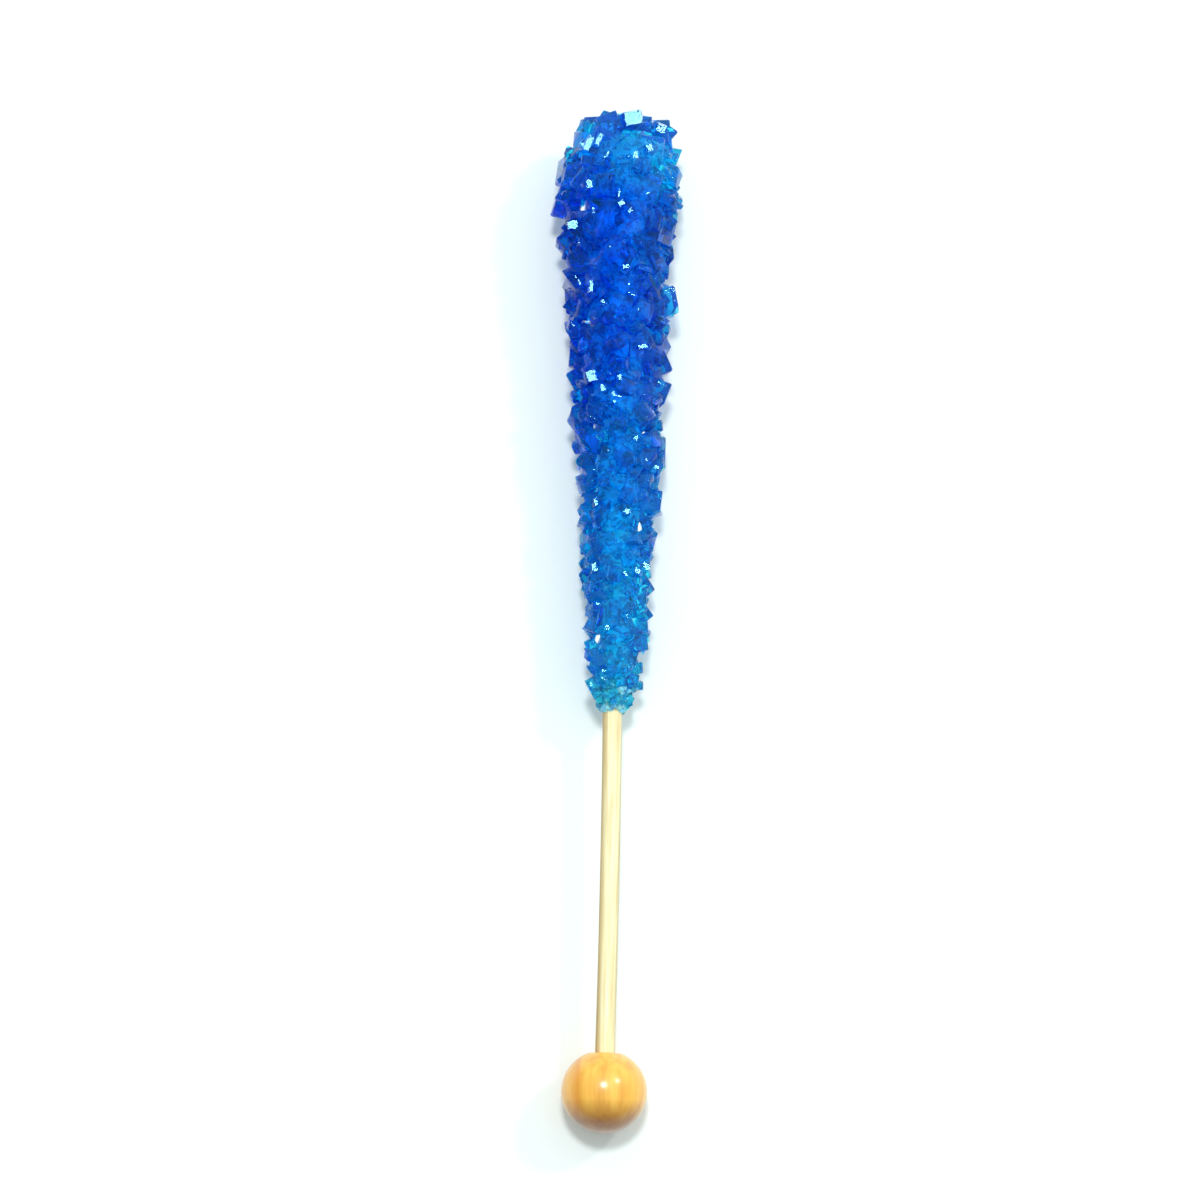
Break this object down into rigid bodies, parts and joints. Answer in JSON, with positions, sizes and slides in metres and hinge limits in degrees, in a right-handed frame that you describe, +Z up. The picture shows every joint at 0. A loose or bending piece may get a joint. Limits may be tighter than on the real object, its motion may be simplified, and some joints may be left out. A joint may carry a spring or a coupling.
{
  "type": "rock candy stick",
  "caption": "Rock candy stick lying on its side: blue sugar crystals grown round a thin wooden dowel, with a turned wooden ball on the handle end.",
  "frame": {"origin": "centre of the bounding box's bottom face, on the surface that the stick lies on", "axes": "+Y along the stick from the ball towards the candy's tip, +Z up, +X across"},
  "size_m": [0.021, 0.1652, 0.0197],
  "materials": {
    "dowel_wood": "bare pale birch, sanded",
    "ball_wood": "clear gloss varnish over golden grain",
    "sugar_crystal": "translucent deep blue sugar crystals with sharp glossy faces"
  },
  "bodies": {
    "root": {"stick": "dowel_wood", "ball": "ball_wood", "candy": "sugar_crystal"}
  },
  "joints": []
}
